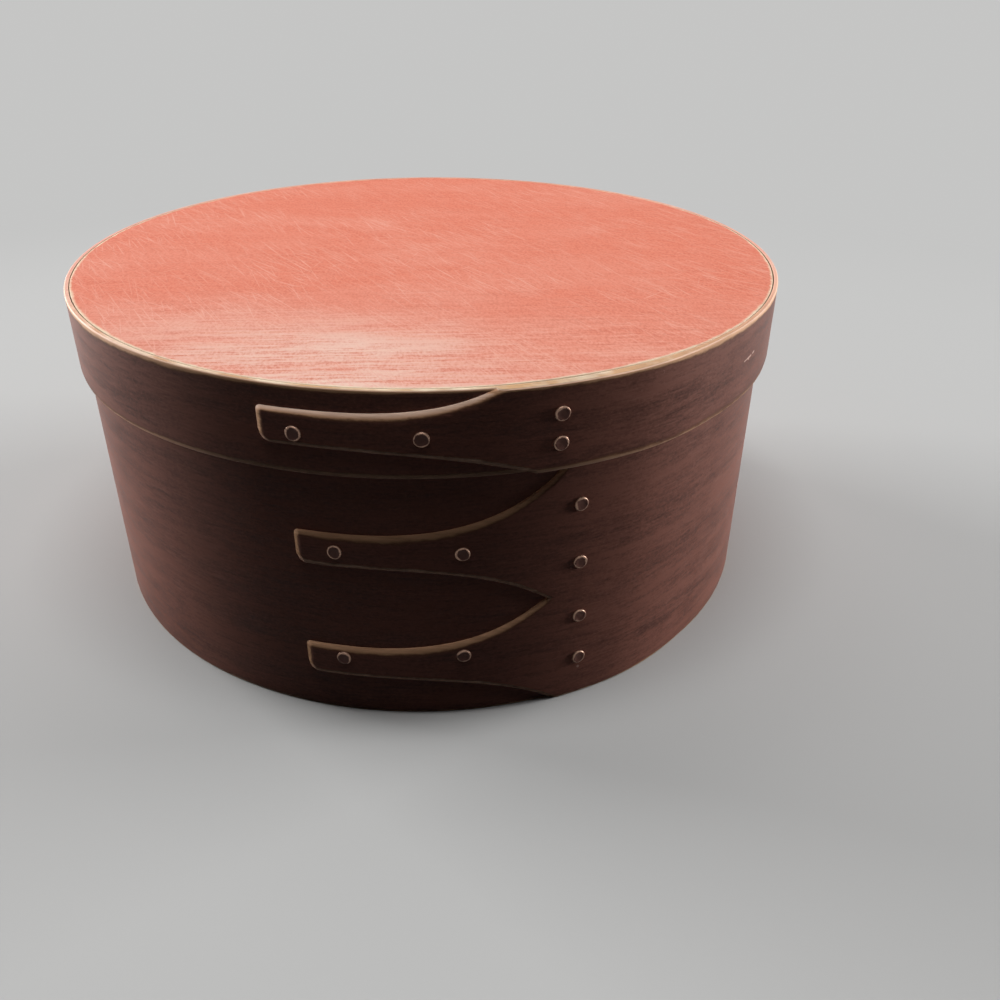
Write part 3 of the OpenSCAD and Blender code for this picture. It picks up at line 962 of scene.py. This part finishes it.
tack = {
    "sides": 40, "radius": 2.34, "high": 0.78, "ease": 0.42, "shank": 0.55, "shankLong": 1.3,
    "dish": ((0.22, 0.02), (0.3, -0.07), (0.5, -0.03), (0.4, 0.0)),   # inset and sink of each ring
    "oval": 0.018, "lobed": 0.008,   # how far a head is from round
    "rough": 0.03, "dents": (2.1, 1.9),
    "headFrom": 0.3, "tilt": 1.6, "lower": 0.05,
    "seat": 0.02, "hiddenAcross": 1.2,   # below the seat a tack is all metal
}
tackPlaces = [   # solid, body, place round the front, height
    ("upper_finger_tack_1", "box", -30.0, 62.175),
    ("upper_finger_tack_2", "box", 7.4, 62.175),
    ("lower_finger_tack_1", "box", -30.0, 22.625),
    ("lower_finger_tack_2", "box", 7.4, 24.325),
    ("body_seam_tack_1", "box", 45.71, 15.4),
    ("body_seam_tack_2", "box", 45.07, 32.31),
    ("body_seam_tack_3", "box", 44.28, 53.00),
    ("body_seam_tack_4", "box", 43.49, 73.7),
    ("lid_finger_tack_1", "lid", -38.4, 101.45),
    ("lid_finger_tack_2", "lid", -3.5, 101.45),
    ("lid_seam_tack_1", "lid", 35.1, 96.95),
    ("lid_seam_tack_2", "lid", 35.1, 105.95),
]


def standingRod(sides, radius, long, low):
    deselectAll()
    bpy.ops.mesh.primitive_cylinder_add(vertices=sides, radius=radius * mm, depth=long * mm)
    obj = bpy.context.active_object
    obj.location.z = (low + long / 2) * mm
    bpy.ops.object.transform_apply(location=True, rotation=False, scale=False)
    return obj


def pickEnd(obj, sides, way):
    pick(obj, "FACE", lambda f: len(f.verts) == sides and way * f.normal.z > 0.5)


def copied(model, cadNode):
    # named after the solid that it replaces, as in lidPeg1 for lid_peg_1
    first, *rest = cadNode.split("_")
    obj = model.copy()
    obj.data = model.data.copy()
    obj.name = first + "".join(part.capitalize() for part in rest)
    obj.data.name = obj.name
    bpy.context.scene.collection.objects.link(obj)
    return obj


def pointing(turn):
    # outward and sideways from a band, at this turn from the front
    outward = np.array([math.sin(turn), -math.cos(turn), 0])
    sideways = np.array([math.cos(turn), math.sin(turn), 0])
    return outward, sideways


def laidOn(co, centre, outward, sideways):
    # a standing piece laid down, with its z outward and its y up
    return (
        centre
        + np.outer(co[:, 0], sideways)
        + np.outer(co[:, 1], (0, 0, 1))
        + np.outer(co[:, 2], outward)
    )


def tackModel():
    sides = tack["sides"]
    obj = standingRod(sides, tack["radius"], tack["high"], 0)
    edit(obj)
    topZ = 0.95 * tack["high"] * mm
    pick(obj, "EDGE", lambda e: middle(e).z > topZ)
    bpy.ops.mesh.bevel(offset=tack["ease"] * mm, segments=4, affect="EDGES")
    # hammered head: a low rim round a flatter middle
    for width, sink in tack["dish"]:
        pickEnd(obj, sides, 1)
        bpy.ops.mesh.inset(thickness=width * mm, depth=sink * mm)
    pickEnd(obj, sides, 1)
    bpy.ops.mesh.poke()
    pickEnd(obj, sides, -1)
    bpy.ops.mesh.inset(thickness=(tack["radius"] - tack["shank"]) * mm)
    down = (0, 0, -tack["shankLong"] * mm)
    bpy.ops.mesh.extrude_region_move(TRANSFORM_OT_translate={"value": down})
    done()
    return obj


def layTacks():
    model = tackModel()
    base = points(model)
    bands = {"box": boxBand, "lid": lidBand}
    for cadNode, body, along, z in tackPlaces:
        obj = copied(model, cadNode)
        co = base / mm
        reach = np.hypot(co[:, 0], co[:, 1])
        angle = np.arctan2(co[:, 1], co[:, 0])
        onHead = co[:, 2] > tack["seat"]
        keepValue(obj, "across", np.where(onHead, reach / tack["radius"], tack["hiddenAcross"]))
        # each head was struck a little differently
        phase = random.uniform(0, 2 * math.pi, 4)
        oval = tack["oval"] * (1 + np.sin(2 * angle + phase[0]))
        lobed = tack["lobed"] * (1 + np.sin(3 * angle + phase[1]))
        co[:, :2] *= (1 - oval - lobed)[:, None]
        dentX = np.sin(tack["dents"][0] * co[:, 0] + phase[2])
        dentY = np.sin(tack["dents"][1] * co[:, 1] + phase[3])
        dent = tack["rough"] * dentX * dentY - tack["rough"]
        co[:, 2] += np.where(co[:, 2] > tack["headFrom"], dent, 0)
        lean = np.radians(random.uniform(-tack["tilt"], tack["tilt"], 2))
        leaning = lean[0] * co[:, 0] + lean[1] * co[:, 1] - tack["lower"]
        co[:, 2] += np.where(co[:, 2] > tack["headFrom"], leaning, 0)
        piece = bands[body]
        lapR = piece["outer"] + lap["thick"]
        outward, sideways = pointing(along / lapR)
        centre = np.array([*piece["centre"], z]) + outward * lapR
        movePoints(obj, laidOn(co, centre, outward, sideways) * mm)
        obj.data.materials.append(tackPaint)
        smooth(obj, angle=50)
        dress(obj, body, "tack_copper", cadNode)
    bpy.data.objects.remove(model)
    print("tacks made:", len(tackPlaces))


peg = {
    "sides": 20, "radius": 0.98, "long": 9.0, "sunk": 0.1, "ease": 0.03, "inset": 0.4, "taper": 0.85,
    "count": 8, "first": 30.0,
}
pegRows = [
    ("bottom", "box", boxBand, 3.0),
    ("lid", "lid", lidBand, 111.7),
]


def pegModel():
    obj = standingRod(peg["sides"], peg["radius"], peg["long"], -peg["long"])
    edit(obj)
    pick(obj, "EDGE", lambda e: middle(e).z > -peg["ease"] * mm)
    bpy.ops.mesh.bevel(offset=peg["ease"] * mm, segments=2, affect="EDGES")
    pickEnd(obj, peg["sides"], 1)
    bpy.ops.mesh.inset(thickness=peg["inset"] * mm)
    pickEnd(obj, peg["sides"], -1)
    bpy.ops.transform.resize(value=(peg["taper"], peg["taper"], 1))
    done()
    return obj


def layPegs():
    model = pegModel()
    base = points(model)
    for kind, body, piece, z in pegRows:
        axis = np.array([*piece["centre"], 0]) * mm
        for i in range(peg["count"]):
            cadNode = f"{kind}_peg_{i + 1}"
            obj = copied(model, cadNode)
            outward, sideways = pointing(math.radians(peg["first"] + 360 / peg["count"] * i))
            # the CAD peg's outer end says how far out the wall is here
            end = ((points(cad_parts[cadNode]) - axis) @ outward).max()
            centre = axis + outward * (end - peg["sunk"] * mm) + np.array([0, 0, z * mm])
            movePoints(obj, laidOn(base, centre, outward, sideways))
            keepValue(obj, "rub", np.full(len(base), -1.0))
            keepValue(obj, "pale", np.zeros(len(base)))
            obj.data.materials.append(paintedBand)
            smooth(obj, angle=40)
            dress(obj, body, "peg_wood", cadNode)
    bpy.data.objects.remove(model)
    print("pegs made:", len(pegRows) * peg["count"])


layTacks()
layPegs()


# floor, light and camera

stageSet = {
    "floor": (0.50, 0.50, 0.495, 1), "fleck": (0.45, 0.45, 0.45, 1),
    "flecks": ((7, 7, 7), 3, 0.5), "fleckAt": (0.3, 0.7, (0, 0.06)),
    "bounce": (0.03, 0.03, 0.03, 1), "rough": 0.8,
    "white": (1, 1, 0.99, 1), "glow": 0.56,
    "wide": 6.0, "back": 2.4, "bend": 0.7, "bendSteps": 24, "wall": 2.2,
    "plainAt": (0.22, 0.6, (0, 1), "SMOOTHSTEP"),   # where the lit floor gives way to an even tone
}


def paleFloor():
    deselectAll()
    bpy.ops.mesh.primitive_plane_add(size=1)
    obj = bpy.context.active_object
    obj.name = "paleFloor"
    obj.scale = (stageSet["wide"], stageSet["wide"] + stageSet["back"], 1)
    obj.location = (0, (stageSet["back"] - stageSet["wide"]) / 2, 0)
    bpy.ops.object.transform_apply(location=True, rotation=False, scale=True)
    edit(obj)
    nearFarEdge = obj.data.vertices[2].co.y - 0.01
    pick(obj, "EDGE", lambda e: middle(e).y > nearFarEdge)
    bpy.ops.mesh.extrude_region_move(TRANSFORM_OT_translate={"value": (0, 0, stageSet["wall"])})
    pick(obj, "EDGE", lambda e: middle(e).y > nearFarEdge and abs(middle(e).z) < 0.01)
    bpy.ops.mesh.bevel(offset=stageSet["bend"], segments=stageSet["bendSteps"], affect="EDGES")
    done()
    smooth(obj, angle=60)
    material, tree, shader, place = newMaterial("floorPaper", 0.0)
    shader.inputs["Roughness"].default_value = stageSet["rough"]
    fleck = fit(tree, noise(tree, place, *stageSet["flecks"]), *stageSet["fleckAt"])
    tone = blendColour(tree, fleck, stageSet["floor"], stageSet["fleck"])
    # the paper is pale to the eye and in reflections, and throws little light back up
    seen = seenRays(tree)
    tone = blendColour(tree, seen, stageSet["bounce"], tone)
    tree.links.new(tone, shader.inputs["Base Color"])
    away = node(tree, "ShaderNodeVectorMath", {0: place}, operation="LENGTH").outputs["Value"]
    far = fit(tree, away, *stageSet["plainAt"])
    glow = {"Color": stageSet["white"], "Strength": stageSet["glow"]}
    even = node(tree, "ShaderNodeEmission", glow)
    mixed = node(tree, "ShaderNodeMixShader", {
        0: sums(tree, "MULTIPLY", far, seen),
        1: shader.outputs[0],
        2: even.outputs[0],
    })
    tree.links.new(mixed.outputs[0], tree.nodes["Material Output"].inputs["Surface"])
    obj.data.materials.append(material)


def seenRays(tree):
    ray = node(tree, "ShaderNodeLightPath")
    seen = sums(tree, "MAXIMUM", ray.outputs["Is Camera Ray"], ray.outputs["Is Glossy Ray"])
    return sums(tree, "MAXIMUM", seen, ray.outputs["Is Transmission Ray"])


lights = [
    {"name": "topPanel", "at": (0.0, -0.153, 2.275), "size": (1.4, 0.4), "watts": 21.3},
    {"name": "backPanel", "at": (-0.065, 0.937, 1.846), "size": (1.4, 0.9), "watts": 6.5},
    {"name": "frontPanel", "at": (0.0, -0.680, 2.172), "size": (1.2, 0.4), "watts": 3.2},
    {"name": "leftPanel", "at": (-1.702, 1.022, 0.324), "size": (1.0, 0.6), "watts": 86.0},
    {"name": "rightPanel", "at": (1.930, 0.467, 0.324), "size": (1.0, 0.6), "watts": 60.0},
]
lampAim = (0, 0, 0.08)


def aim(at, to):
    return (Vector(to) - Vector(at)).to_track_quat("-Z", "Y").to_euler()


def hangLights():
    for lamp in lights:
        data = bpy.data.lights.new(lamp["name"], "AREA")
        data.shape = "RECTANGLE"
        data.size, data.size_y = lamp["size"]
        data.energy = lamp["watts"]
        obj = bpy.data.objects.new(lamp["name"], data)
        obj.location = lamp["at"]
        obj.rotation_euler = aim(lamp["at"], lampAim)
        obj.visible_camera = False
        bpy.context.scene.collection.objects.link(obj)
    world = bpy.data.worlds.new("softRoom")
    bpy.context.scene.world = world
    world.use_nodes = True
    tree = world.node_tree
    sky = tree.nodes["Background"]
    sky.inputs["Color"].default_value = stageSet["white"]
    glow = sums(tree, "MULTIPLY", seenRays(tree), stageSet["glow"])
    tree.links.new(glow, sky.inputs["Strength"])


view = {
    "at": (0.0, -0.35648, 0.21718),
    "ahead": (0.06741533, 0.85760563, -0.50987034),
    "roll": 0.6079,
    "lens": 34.387, "sensor": 36,
    "nearest": 0.01,
}


def placeCamera():
    data = bpy.data.cameras.new("photoCamera")
    data.lens = view["lens"]
    data.sensor_width = view["sensor"]
    data.clip_start = view["nearest"]
    ahead = Vector(view["ahead"]).normalized()
    right = ahead.cross(Vector((0, 0, 1))).normalized()
    up = right.cross(ahead)
    roll = math.radians(view["roll"])
    turned = math.cos(roll) * right + math.sin(roll) * up
    upright = math.cos(roll) * up - math.sin(roll) * right
    camera = bpy.data.objects.new("photoCamera", data)
    turn = Matrix((turned, upright, -ahead)).transposed().to_4x4()
    camera.matrix_world = Matrix.Translation(view["at"]) @ turn
    bpy.context.scene.collection.objects.link(camera)
    bpy.context.scene.camera = camera


paleFloor()
hangLights()
placeCamera()
bpy.context.scene.view_settings.view_transform = "Standard"
print("stage ready")
